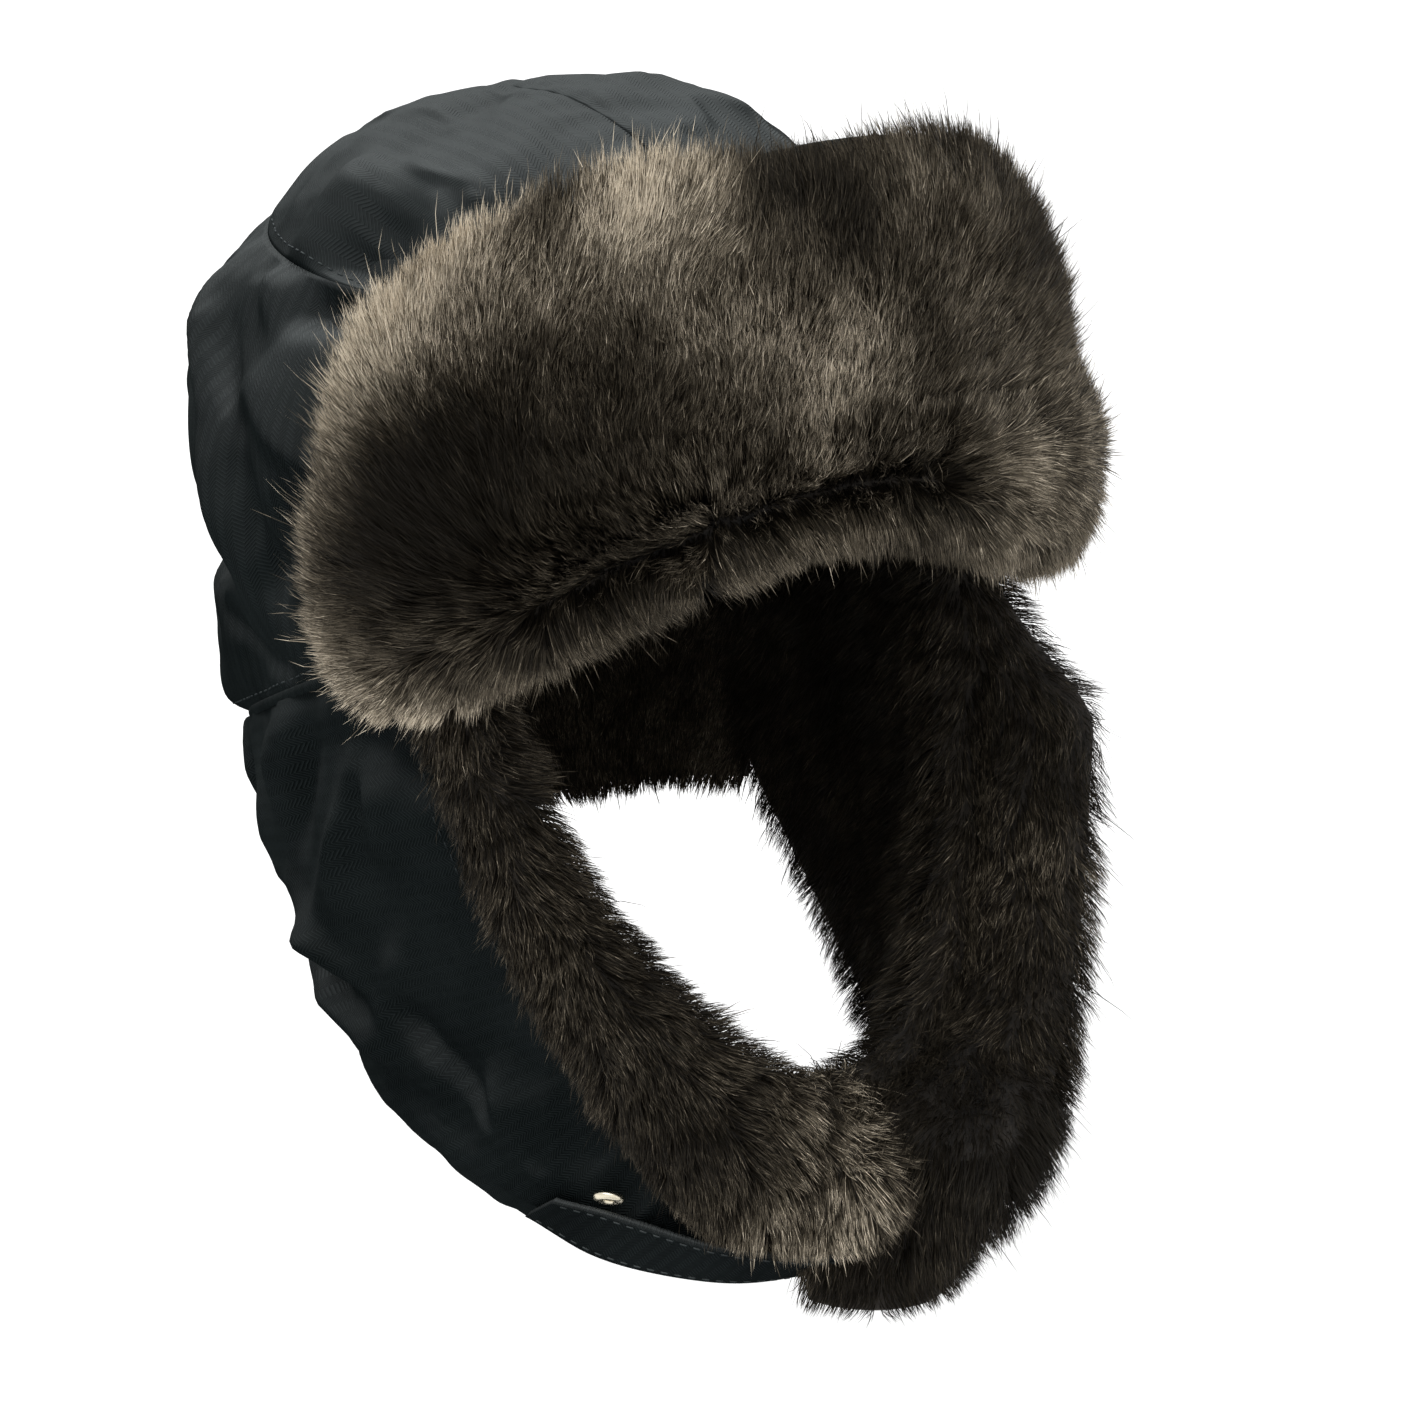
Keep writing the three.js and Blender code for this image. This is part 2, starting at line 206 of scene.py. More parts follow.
def spline(points, share):
    """A smooth curve through evenly spaced points, at shares from 0 to 1."""
    points = np.asarray(points, float)
    place = np.clip(np.asarray(share, float), 0, 1) * (len(points) - 1)
    cell = np.minimum(place.astype(int), len(points) - 2)
    t = place - cell if points.ndim == 1 else (place - cell)[..., None]
    last = len(points) - 1
    a, b = points[np.maximum(cell - 1, 0)], points[cell]
    c, d = points[cell + 1], points[np.minimum(cell + 2, last)]
    square, cube = 2 * a - 5 * b + 4 * c - d, 3 * b - a - 3 * c + d
    return 0.5 * (2 * b + (c - a) * t + square * t ** 2 + cube * t ** 3)


def lattice_noise(points, pitch, seed):
    """Smooth random values from -1 to 1 over space, with features about one pitch apart."""
    table = np.random.default_rng(seed).uniform(-1, 1, (32, 32, 32))
    place = points / pitch
    cell = np.floor(place).astype(int)
    share = place - cell
    share = share * share * (3 - 2 * share)
    total = np.zeros(points.shape[:-1])
    for corner in product((0, 1), repeat=3):
        at = (cell + corner) % 32
        weight = np.prod(np.where(np.array(corner) == 1, share, 1 - share), axis=-1)
        total += weight * table[at[..., 0], at[..., 1], at[..., 2]]
    return total


# Large soft folds in the shell: two ends as (angle, height), then width and height in millimetres. All are
# made narrower and higher by the same shares, and each is steeper on one of its long sides.
FOLD_WIDTH, FOLD_HEIGHT, FOLD_LEAN = 0.85, 1.25, 0.45
FOLDS = [
    ((-116, 88), (-100, 60), 7, 4), ((-100, 60), (-92, 16), 7, 3.6), ((-108, 84), (-90, 58), 5, -4.5),
    ((-90, 58), (-84, 12), 5, -4.5), ((-82, 86), (-58, 96), 10, -9), ((-74, 50), (-88, 20), 5, -3),
    ((-96, 92), (-86, 82), 8, 4), ((-86, 70), (-72, 54), 8, 3), ((-84, 118), (-50, 122), 9, -1.6),
    ((-30, 116), (-52, 108), 9, 2.2), ((-76, 104), (-90, 112), 7, 2.8), ((-60, 102), (-84, 106), 5, -2),
    ((-134, 14), (-96, 24), 9, -6), ((-112, 12), (-84, -4), 4, -2.6), ((-122, 40), (-112, 0), 6, 3),
    ((-70, -4), (-80, -52), 4, -3), ((-74, -14), (-84, -64), 5, 3), ((-84, -6), (-92, -46), 4, -3.2),
    ((-90, -2), (-98, -38), 6, 3), ((-118, -30), (-112, -62), 4, -3.6), ((-122, -64), (-86, -86), 6, -7),
    ((-96, -60), (-80, -82), 6, 3.2), ((-104, -78), (-76, -104), 8, 3.4), ((-80, -78), (-66, -112), 4, -2.8),
    ((-62, -92), (-70, -124), 6, 2.6), ((-90, -114), (-62, -134), 6, 2), ((-66, 4), (-96, -16), 4, 2.6),
    ((70, -20), (84, -70), 6, -2.8), ((96, 10), (84, 60), 8, 3), ((112, 30), (100, 84), 6, -3.2),
    ((108, -40), (84, -92), 6, 3), ((60, 92), (84, 96), 8, -3.4), ((40, 118), (80, 112), 9, 2),
    ((90, -60), (70, -112), 5, -2.6), ((150, 60), (136, 10), 7, -3), ((-150, 50), (-138, 0), 8, 3),
    ((172, 90), (160, 30), 8, 2.6), ((-160, -20), (-172, -70), 6, -2.6), ((150, -20), (166, -66), 6, 2.6),
    ((-132, 80), (-146, 30), 6, -3.2), ((124, 70), (132, 20), 7, 2.8), ((-126, 52), (-116, 2), 12, -5.5),
    ((-122, -14), (-118, -48), 8, 4), ((-70, -2), (-74, -40), 3, 2.4), ((-78, -30), (-92, -72), 4, 2.4),
    ((-88, -66), (-106, -82), 4, 2.6), ((-72, -60), (-84, -96), 4, 2.2),
]


def folds(angle, z):
    """How far the soft folds move the shell outwards."""
    total = np.zeros(np.broadcast(angle, z).shape)
    per_degree = math.radians(1) * HALF_WIDTH
    for (a0, z0), (a1, z1), width, height in FOLDS:
        across, up = (a1 - a0) * per_degree, z1 - z0
        offset = (angle - a0) * per_degree
        share = (offset * across + (z - z0) * up) / (across ** 2 + up ** 2)
        near = np.clip(share, 0, 1)
        distance = np.hypot(offset - near * across, z - z0 - near * up)
        beside = (offset * up - (z - z0) * across) / math.hypot(across, up)
        steep = FOLD_WIDTH * width * (1 - FOLD_LEAN * np.tanh(2 * beside / width))
        fading = np.sin(np.pi * np.clip(share * 0.8 + 0.1, 0, 1))
        total += FOLD_HEIGHT * height * np.exp(-((distance / steep) ** 2)) * fading
    return total


# ---------------------------------------------------------------- meshes

def make_mesh(name, points, faces, mats=(), uvs=None):
    mesh = bpy.data.meshes.new(name)
    mesh.from_pydata((np.asarray(points).reshape(-1, 3) * MM).tolist(), [], faces)
    if uvs is not None:
        layer = mesh.uv_layers.new(name="weave")
        corner = np.empty(len(mesh.loops), np.int32)
        mesh.loops.foreach_get("vertex_index", corner)
        layer.data.foreach_set("uv", (np.asarray(uvs).reshape(-1, 2)[corner] * MM).astype(np.float32).ravel())
    mesh.polygons.foreach_set("use_smooth", [True] * len(mesh.polygons))
    for mat in mats:
        mesh.materials.append(mat)
    mesh.update()
    piece = bpy.data.objects.new(name, mesh)
    bpy.context.scene.collection.objects.link(piece)
    return piece


def grid_normals(points):
    along = np.gradient(points, axis=0)
    across = np.gradient(points, axis=1)
    return unit(np.cross(along, across))


def grid_lengths(points):
    """How far each grid point lies along its row and its column, for a weave in real size."""
    rows = np.cumsum(np.linalg.norm(np.diff(points, axis=0, prepend=points[:1]), axis=-1), axis=0)
    columns = np.cumsum(np.linalg.norm(np.diff(points, axis=1, prepend=points[:, :1]), axis=-1), axis=1)
    middle = points.shape[1] // 2
    return np.stack([np.broadcast_to(rows[:, middle:middle + 1], rows.shape), columns], axis=-1)


def grid_faces(nu, nv):
    """The numbers of a grid's points, and its four-sided faces."""
    number = np.arange(nu * nv).reshape(nu, nv)
    corners = [number[:-1, :-1], number[1:, :-1], number[1:, 1:], number[:-1, 1:]]
    return number, np.stack(corners, -1).reshape(-1, 4)


def slab(name, outer, inner, mats, weave=None):
    """A closed solid between two grids of points of the same size."""
    nu, nv = outer.shape[:2]
    number, top = grid_faces(nu, nv)
    rim = np.concatenate([number[:-1, 0], number[-1, :-1], number[:0:-1, -1], number[0, :0:-1]])
    after = np.roll(rim, -1)
    size = nu * nv
    side = np.stack([rim, rim + size, after + size, after], -1)
    faces = np.concatenate([top, top[:, ::-1] + size, side])
    if np.mean(np.sum(grid_normals(outer) * (outer - inner), axis=-1)) < 0:
        faces = faces[:, ::-1]
    lengths = grid_lengths(outer) if weave is None else weave
    points = np.concatenate([outer.reshape(-1, 3), inner.reshape(-1, 3)])
    piece = make_mesh(name, points, faces.tolist(), mats, np.concatenate([lengths.reshape(-1, 2)] * 2))
    ends = np.empty(len(piece.data.edges) * 2, np.int32)
    piece.data.edges.foreach_get("vertices", ends)
    on_rim = np.isin(ends.reshape(-1, 2), rim).all(axis=1)
    crease = piece.data.attributes.new("crease_edge", "FLOAT", "EDGE")
    crease.data.foreach_set("value", on_rim.astype(np.float32))
    return piece


def cells(nu, nv):
    return np.meshgrid(np.linspace(0, 1, nu), np.linspace(0, 1, nv), indexing="ij")


def swell(points, cap):
    """Cloth a little too big for its frame, blown out between its four held edges, by less than the cap."""
    nu, nv = points.shape[:2]
    number, faces = grid_faces(nu, nv)
    piece = make_mesh("swelling", points, faces.tolist())
    held = piece.vertex_groups.new(name="held")
    edge = np.concatenate([number[0], number[-1], number[:, 0], number[:, -1]])
    held.add([int(i) for i in edge], 1.0, "REPLACE")
    cloth = piece.modifiers.new("Cloth", "CLOTH")
    cloth.settings.vertex_group_mass = "held"
    for setting, value in CLOTH_SETTINGS.items():
        setattr(cloth.settings, setting, value)
    cloth.settings.effector_weights.gravity = 0
    cloth.collision_settings.use_collision = False
    scene = bpy.context.scene
    for step in range(1, SWELL_FRAMES + 1):
        scene.frame_set(step)
    evaluated = piece.evaluated_get(bpy.context.evaluated_depsgraph_get())
    found = np.empty(nu * nv * 3)
    evaluated.data.vertices.foreach_get("co", found)
    bpy.data.objects.remove(piece)
    scene.frame_set(1)
    moved = found.reshape(points.shape) / MM - points
    size = np.linalg.norm(moved, axis=-1, keepdims=True)
    return points + moved * np.tanh(size / cap) * cap / np.maximum(size, 1e-6)


SHELL_PIECES = []


def pad(name, points, relief, body, nodes, swelling, lies_flat=False):
    """A padded panel from its outer face: swollen, wrinkled, thickened inwards and smoothed once."""
    normals = grid_normals(points)
    if np.mean(np.sum(normals * points, axis=-1)) < 0:
        points, relief = points[::-1], relief[::-1]
        normals = grid_normals(points)
    swollen = swell(points, swelling) + normals * relief[..., None]
    weave = points[..., :2] if lies_flat else grid_lengths(points)
    piece = slab(name, swollen, points - normals * PAD_THICKNESS, [SHELL], weave)
    smoothing = piece.modifiers.new("Smooth", "SUBSURF")
    smoothing.levels = smoothing.render_levels = 1
    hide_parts(*nodes)
    attach(piece, body)
    SHELL_PIECES.append(piece)


def attach(piece, body):
    """Rides a piece on its body; a flap's piece and the strap's are left in place, with their transforms
    baked in.
    """
    if body in ("right_flap", "left_flap"):
        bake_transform(piece)
    elif body == "strap":
        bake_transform(piece)
    else:
        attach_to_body(piece, body)


# ---------------------------------------------------------------- materials

class Nodes:
    """A short way to write a node tree."""

    def __init__(self, name):
        self.mat = bpy.data.materials.new(name)
        self.mat.use_nodes = True
        self.tree = self.mat.node_tree
        self.shader = self.tree.nodes["Principled BSDF"]

    def add(self, kind, inputs=None, **settings):
        node = self.tree.nodes.new("ShaderNode" + kind)
        for key, value in settings.items():
            setattr(node, key, value)
        for key, value in (inputs or {}).items():
            if isinstance(value, bpy.types.NodeSocket):
                self.tree.links.new(value, node.inputs[key])
            else:
                node.inputs[key].default_value = value
        return node

    def math(self, operation, a, b=0.0):
        return self.add("Math", {0: a, 1: b}, operation=operation).outputs[0]

    def ramp(self, tone, low, dark, high, light):
        """A colour for each tone, from dark at the low position to light at the high one."""
        node = self.add("ValToRGB", {"Fac": tone})
        for element, position, colour in zip(node.color_ramp.elements, (low, high), (dark, light)):
            element.position = position
            element.color = (*colour, 1)
        return node.outputs[0]

    def noise(self, scale, detail, place):
        return self.add("TexNoise", {"Vector": place, "Scale": scale, "Detail": detail}).outputs["Fac"]

    def bump(self, height, strength, distance):
        node = self.add("Bump", {"Height": height, "Strength": strength, "Distance": distance})
        self.link(node.outputs[0], "Normal")

    def link(self, output, name):
        self.tree.links.new(output, self.shader.inputs[name])

    def set(self, **values):
        for key, value in values.items():
            self.shader.inputs[key.replace("_", " ")].default_value = value


def twill(name, dark, light, roughness=0.52, pitch=0.95, column=2.1):
    """Fine broken twill: short slanted ribs that turn from column to column, with painted light: a painted
    sheen that makes it paler where it faces upwards, and painted highlights on the upper sides of folds.
    """
    n = Nodes(name)
    at = n.add("SeparateXYZ", {0: n.add("UVMap", uv_map="weave").outputs[0]})
    zigzag = n.math("PINGPONG", at.outputs[0], column * MM)
    slant = n.math("ADD", zigzag, at.outputs[1])
    ribs = n.math("SINE", n.math("MULTIPLY", slant, 2 * math.pi / (pitch * MM)))
    place = n.add("TexCoord").outputs["Object"]
    cloudy, lint = n.noise(28.0, 4.0, place), n.noise(900.0, 2.0, place)
    tone = n.math("ADD", n.math("MULTIPLY", ribs, 0.2), n.math("ADD", cloudy, n.math("MULTIPLY", lint, 0.3)))
    cloth = n.ramp(tone, 0.35, dark, 0.95, light)
    # Painted light: cloth that tilts upwards is mixed towards a pale colour, as painted highlights on fold
    # ridges and a painted sheen on top.
    facing = n.add("SeparateXYZ", {0: n.add("TexCoord").outputs["Normal"]}).outputs[2]
    ridge_highlight = n.add("MapRange", {"Value": facing, "From Min": -0.1, "From Max": 0.6, "To Max": 0.015})
    upwards = n.add("MapRange", {"Value": facing, "From Min": 0.6, "From Max": 1.0, "To Max": 0.046})
    ridge_highlight.interpolation_type = upwards.interpolation_type = "SMOOTHSTEP"
    painted_sheen = n.math("ADD", ridge_highlight.outputs[0], upwards.outputs[0])
    sheen_painted_cloth = n.add("Mix", {6: cloth, 7: (0.94, 1, 1, 1), 0: painted_sheen}, data_type="RGBA")
    n.link(sheen_painted_cloth.outputs[2], "Base Color")
    n.bump(n.math("ADD", n.math("MULTIPLY", ribs, 0.5), lint), 0.9, 0.0004)
    rough = n.add("MapRange", {"Value": cloudy, "To Min": roughness - 0.06, "To Max": roughness + 0.08})
    n.link(rough.outputs[0], "Roughness")
    n.shader.inputs["Specular IOR Level"].default_value = 0.0
    return n.mat


def pile_backing(name, dark, light):
    """The knitted back and dense short underfur beneath the long pile."""
    n = Nodes(name)
    place = n.add("TexCoord").outputs["Object"]
    patches, hairs = n.noise(30.0, 5.0, place), n.noise(700.0, 3.0, place)
    tone = n.math("ADD", n.math("MULTIPLY", patches, 0.6), n.math("MULTIPLY", hairs, 0.4))
    n.link(n.ramp(tone, 0.38, dark, 0.72, light), "Base Color")
    n.bump(hairs, 0.8, 0.0006)
    n.set(Roughness=0.95)
    return n.mat


def quilted(name, dark, light):
    """Smooth close-woven lining with a slight satin gloss."""
    n = Nodes(name)
    at = n.add("UVMap", uv_map="weave").outputs[0]
    weave = n.add("TexWave", {"Vector": at, "Scale": 900.0, "Distortion": 0.3}).outputs["Fac"]
    cloudy = n.add("TexNoise", {"Vector": n.add("TexCoord").outputs["Object"], "Scale": 40.0}).outputs["Fac"]
    tone = n.math("ADD", cloudy, n.math("MULTIPLY", weave, 0.15))
    n.link(n.ramp(tone, 0, dark, 1, light), "Base Color")
    n.bump(weave, 0.3, 0.0001)
    n.set(Roughness=0.45)
    return n.mat


def metal(name, colour):
    n = Nodes(name)
    place = n.add("TexCoord").outputs["Object"]
    rough = n.add("MapRange", {"Value": n.noise(900.0, 3.0, place), "To Min": 0.16, "To Max": 0.34})
    n.link(rough.outputs[0], "Roughness")
    n.set(Metallic=1.0, Base_Color=(*colour, 1))
    return n.mat


SHELL = twill("shell_twill", (0.004, 0.0054, 0.0056), (0.0125, 0.0158, 0.0162))
STRAP = twill("strap_twill", (0.005, 0.0064, 0.0067), (0.0135, 0.0166, 0.0172), roughness=0.7)
THREAD = twill("thread", (0.010, 0.013, 0.014), (0.028, 0.034, 0.035), roughness=0.6)
LINING = quilted("lining_satin", (0.006, 0.007, 0.008), (0.016, 0.018, 0.02))
BACKING = pile_backing("fur_backing", (0.006, 0.005, 0.004), (0.028, 0.021, 0.014))
SNAP = metal("snap_metal", (0.72, 0.66, 0.52))

# Fur shades, from the darkest roots to the palest tips.
SHADE_COUNT = 11
SHADE_DARK, SHADE_LIGHT = np.array((0.008, 0.0063, 0.004)), np.array((0.62, 0.54, 0.42))


def fur_shades():
    shades = []
    for step in range(SHADE_COUNT):
        share = step / (SHADE_COUNT - 1)
        colour = SHADE_DARK * (SHADE_LIGHT / SHADE_DARK) ** share
        n = Nodes(f"fur_shade_{step}")
        n.set(Base_Color=(*colour, 1), Roughness=0.55)
        n.shader.inputs["Specular IOR Level"].default_value = 0.1
        shades.append(n.mat)
    return shades


FUR = fur_shades()


# ---------------------------------------------------------------- fur

def roots_on(points, count, seed):
    """Random places spread evenly over a grid's faces, each with its normal and the grid's two directions."""
    rng = np.random.default_rng(seed)
    along, across = np.gradient(points, axis=0), np.gradient(points, axis=1)
    area = np.linalg.norm(np.cross(along, across), axis=-1)[:-1, :-1].ravel()
    cell = rng.choice(area.size, count, p=area / area.sum())
    i, j = np.unravel_index(cell, (points.shape[0] - 1, points.shape[1] - 1))
    u, v = rng.uniform(size=(2, count, 1))

    def at(values):
        return ((values[i, j] * (1 - u) + values[i + 1, j] * u) * (1 - v)
                + (values[i, j + 1] * (1 - u) + values[i + 1, j + 1] * u) * v)

    share_u = (i + u[:, 0]) / (points.shape[0] - 1)
    share_v = (j + v[:, 0]) / (points.shape[1] - 1)
    along, across = at(along), at(across)
    return at(points), unit(np.cross(along, across)), unit(along), unit(across), share_u, share_v


# A strand: places along it, its width there, and the change of shade of its three faces from root to tip.
STRAND_PLACES = np.array([0, 0.42, 0.76, 1])
STRAND_TAPER = np.array([0.9, 1, 0.62, 0])
STRAND_SHADES = np.array([-2.4, 0.5, 3.2])

# Strands to a lock and to a tuft, and how strongly a lock draws together.
LOCK_SIZE, TUFT_SIZE, LOCK_PULL = 24, 190, 0.42


def pile(name, body, roots, outwards, comb, length, stand, seed, width, tone, tuft=0.25):
    """Long fur: tapered strands that lean with the comb, gather into locks and pale towards their tips."""
    rng = np.random.default_rng(seed)
    count = len(roots)
    sizes = length * rng.uniform(0.6, 1.05, count)
    sizes = (sizes * rng.choice([1, 1.4, 1.8], count, p=[0.93, 0.055, 0.015]))[:, None]
    scatter = rng.normal(size=(count, 3))
    waves = 0.3 * lattice_field(roots, 16, seed + 5) + 0.3 * lattice_field(roots, 6, seed + 8)
    lay = unit(comb + waves) * (1 - stand) + outwards * stand
    first = unit(lay + 0.5 * outwards + 0.12 * scatter)
    last = unit(lay - 0.15 * outwards + 0.16 * rng.normal(size=(count, 3)))
    middle = roots + first * sizes * 0.5
    tip = middle + last * sizes * 0.5
    lock = nearest_heads(roots, rng, LOCK_SIZE)
    for heads, pull in ((lock, LOCK_PULL), (nearest_heads(roots, rng, TUFT_SIZE), tuft)):
        gather = pull * rng.uniform(0.3, 1.1, (count, 1))
        tip = blend_between(tip, tip[heads] + 0.3 * (roots - roots[heads]), gather)
        middle = blend_between(middle, middle[heads] + 0.85 * (roots - roots[heads]), gather * 0.4)
    steps = STRAND_PLACES[None, :, None]
    line = (roots[:, None] * (1 - steps) ** 2 + middle[:, None] * 2 * steps * (1 - steps)
            + tip[:, None] * steps ** 2)
    facing = unit(outwards + 0.5 * rng.normal(size=(count, 3)))
    flat = unit(np.cross(tip - roots, facing))[:, None]
    half = 0.5 * width * rng.uniform(0.7, 1.2, (count, 1, 1)) * STRAND_TAPER[None, :, None]
    left, right = line - flat * half, line + flat * half
    patches = lattice_noise(roots, 13, 4) * 1.5 + lattice_noise(roots[lock], 3, 6) * 1.1
    base = 2.0 + tone + patches + rng.normal(size=count) * 1.4
    shade = np.clip(np.rint(base[:, None] + STRAND_SHADES), 0, SHADE_COUNT - 1).astype(np.int32)
    for part, start in enumerate(range(0, count, STRANDS_IN_A_PIECE)):
        these = slice(start, min(count, start + STRANDS_IN_A_PIECE))
        piece = strand_mesh(f"{name}_{part + 1}", left[these], right[these], shade[these])
        attach(piece, body)


def nearest_heads(roots, rng, share):
    """For each root, the nearest of a few roots picked at random."""
    heads = rng.choice(len(roots), max(1, len(roots) // share), replace=False)
    tree = kdtree.KDTree(len(heads))
    for place, head in enumerate(heads):
        tree.insert(roots[head], place)
    tree.balance()
    return heads[np.array([tree.find(root)[1] for root in roots])]


def lattice_field(points, pitch, seed):
    return np.stack([lattice_noise(points, pitch, seed + k) for k in range(3)], axis=-1)


def strand_mesh(name, left, right, shade):
    """Strands of two four-sided faces and a pointed tip each, from the two edges of every strand."""
    count = len(left)
    points = np.concatenate([np.stack([left[:, :3], right[:, :3]], 2).reshape(count, 6, 3), left[:, 3:]], 1)
    pattern = np.array([0, 1, 3, 2, 2, 3, 5, 4, 4, 5, 6])
    corners = (np.arange(count)[:, None] * 7 + pattern).astype(np.int32)
    starts = (np.arange(count)[:, None] * 11 + np.array([0, 4, 8])).astype(np.int32)
    mesh = bpy.data.meshes.new(name)
    mesh.vertices.add(count * 7)
    mesh.vertices.foreach_set("co", (points * MM).astype(np.float32).ravel())
    mesh.loops.add(count * 11)
    mesh.loops.foreach_set("vertex_index", corners.ravel())
    mesh.polygons.add(count * 3)
    mesh.polygons.foreach_set("loop_start", starts.ravel())
    for mat in FUR:
        mesh.materials.append(mat)
    mesh.polygons.foreach_set("material_index", shade.ravel())
    mesh.update(calc_edges=True)
    piece = bpy.data.objects.new(name, mesh)
    bpy.context.scene.collection.objects.link(piece)
    return piece


# ---------------------------------------------------------------- crown

def crown_wall(sign):
    u, v = cells(91, 45)
    angle = blend_between(0.0, 180.0, u)
    low = band_line(angle) + 0.4
    z = blend_between(low, top_seam(angle), v)
    return sign * angle, z, u, v


def crown_top(sign):
    u, v = cells(71, 45)
    angle = blend_between(2.0, 178.0, u)
    sine, cosine = np.sin(np.radians(angle)), np.cos(np.radians(angle))
    rim = dome_width(top_seam(angle))
    across = v * rim * plan(sine, cosine) * sine
    along = blend_between(-rim * cosine, -rim * plan(sine, cosine) * cosine, v)
    size = np.minimum(1, (np.abs(across) ** PLAN_POWER + np.abs(along) ** PLAN_POWER) ** (1 / PLAN_POWER))
    z = CROWN_HEIGHT * (1 - size ** DOME_POWER) ** (1 / DOME_POWER)
    return sign * np.degrees(np.arctan2(across, -along)), z, u, v


def inside(u, v, reach=0.16):
    """From 0 at a panel's seams to 1 away from them."""
    return np.sin(np.minimum(1, np.minimum(np.minimum(u, 1 - u), np.minimum(v, 1 - v)) / reach) * np.pi / 2)


def panel(angle, z, u, v, puff):
    """A panel's outer face, sunk at its seams, and the wrinkles and soft folds to add to it."""
    place = hood(angle, z, 0)
    crease = 1 - np.abs(lattice_noise(place * [1, 1, 0.45], 17, 14)) * 2.2
    loose = lattice_noise(place, 26, 11) * 1.1 + lattice_noise(place * [1, 1, 0.6], 10, 12) * 0.4
    loose += 1.6 * np.maximum(crease, 0) ** 3
    pucker = lattice_noise(place, 4.5, 13) * 0.35 * (1 - inside(u, v, 0.14)) * inside(u, v, 0.02)
    relief = inside(u, v, 0.07) * (folds(angle, z) + loose) + pucker
    return hood(angle, z, -SEAM_SINK + inside(u, v) * puff), relief


for side, facts in SIDES.items():
    for part, shape in (("side", crown_wall), ("top", crown_top)):
        angle, z, u, v = shape(facts["sign"])
        puff, swelling = (SIDE_PUFF, SIDE_SWELL) if part == "side" else (TOP_PUFF, TOP_SWELL)
        pad(f"padded_{part}_{side}", *panel(angle, z, u, v, puff), "crown",
            [f"crown_{part}_{side}", "crown_wadding"], swelling, part == "top")


def dome(out):
    """A whole dome over the head as one grid, down to the band line."""
    a, b = (2 * c - 1 for c in cells(97, 97))
    across, along = a * np.sqrt(1 - b * b / 2), b * np.sqrt(1 - a * a / 2)
    reach = np.minimum(1, np.hypot(across, along))
    heading = np.degrees(np.arctan2(across, -along))
    z = blend_between(band_line(heading), CROWN_HEIGHT, np.cos(reach * np.pi / 2))
    return hood(heading, z, out(across, along))


def quilt(across, along):
    """Diamond quilting, drawn in along its lines."""
    diamonds = np.abs(np.sin(QUILT_LINES * (across + along)) * np.sin(QUILT_LINES * (across - along)))
    return LINING_OUT - QUILT_DEPTH * diamonds ** 0.6


quilting = dome(lambda across, along: quilt(across, along) - QUILT_THICKNESS)
lining = slab("quilted_lining", dome(lambda across, along: LINING_OUT), quilting, [LINING])
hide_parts("crown_lining")
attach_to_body(lining, "crown")


def ring(low, high, out, columns=241):
    u, v = cells(columns, 7)
    angle = blend_between(-179.8, 179.8, u)
    return hood(angle, band_line(angle) + blend_between(low, high, v), out + 0.3 * np.sin(np.pi * v))


sweatband = slab("soft_sweatband", ring(0, SWEATBAND_HEIGHT, SWEATBAND_OUT),
                 ring(0, SWEATBAND_HEIGHT, SWEATBAND_OUT - SWEATBAND_THICKNESS), [LINING])
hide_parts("sweatband")
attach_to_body(sweatband, "crown")
band = slab("band_piping", ring(-PIPING_REACH, PIPING_REACH, -SEAM_SINK + 0.5),
            ring(-PIPING_REACH, PIPING_REACH, -SEAM_SINK - 1.2), [SHELL])
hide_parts("crown_band")
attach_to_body(band, "crown")


# ---------------------------------------------------------------- visor

def visor_point(u, v, out):
    cut = VISOR_CORNER_CUT * np.abs(2 * v - 1) ** 5
    narrowing = 6 * smooth(0.5 - u, 0.1, 0.5) * smooth(v, 0.35, 1)
    angle = blend_between(-1, 1, u) * (VISOR_HALF_ANGLE - cut - narrowing)
    low = VISOR_RISE - VISOR_END_DROP * (angle / VISOR_HALF_ANGLE) ** 2
    z = band_line(angle) + blend_between(low, VISOR_TOP, v)
    base = hood(angle, np.minimum(z, VISOR_WALL_HEIGHT), VISOR_STAND_OFF + out)
    base[..., 2] = z
    return base


# The cloth goes on a little below the visor's foot, and is tucked in there against the crown.
VISOR_CLOTH_FOOT, VISOR_CLOTH_TUCK = 0.05, 6.5
u, v = cells(49, 27)
v = v * (1 + VISOR_CLOTH_FOOT) - VISOR_CLOTH_FOOT
tucked = VISOR_CLOTH_TUCK * (1 - smooth(v, -VISOR_CLOTH_FOOT, 0.09))
backing = slab("visor_cloth_back", visor_point(u, v, VISOR_CLOTH_THICKNESS - tucked),
               visor_point(u, v, -tucked), [SHELL])
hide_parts("visor_backing")
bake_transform(backing)

# The fur's backing is full in the middle, drawn in at its rim and along the parting.
u, v = cells(61, 41)
ends = 1 - np.abs(2 * u - 1) ** 6
edges = 1 - np.abs(2 * v - 1) ** 3
along_parting = smooth(u, PARTING_START - 0.06, PARTING_START + 0.1)
along_parting = along_parting * (1 - smooth(u, PARTING_END - 0.05, PARTING_END + 0.2))
from_groove = (v - PARTING_HEIGHT - GROOVE_RISE) / GROOVE_WIDTH
groove = GROOVE_DEPTH * np.exp(-(from_groove ** 2)) * along_parting
lumps = lattice_noise(visor_point(u, v, 0), 30, 21) * 1.6
bulge = 4.5 * smooth(u, 0.68, 0.88) * np.exp(-(((v - 0.35) / 0.28) ** 2)) * edges
body_out = 1.6 + VISOR_FULLNESS * ends ** 0.7 * edges ** 0.7 - groove + lumps * ends * edges + bulge


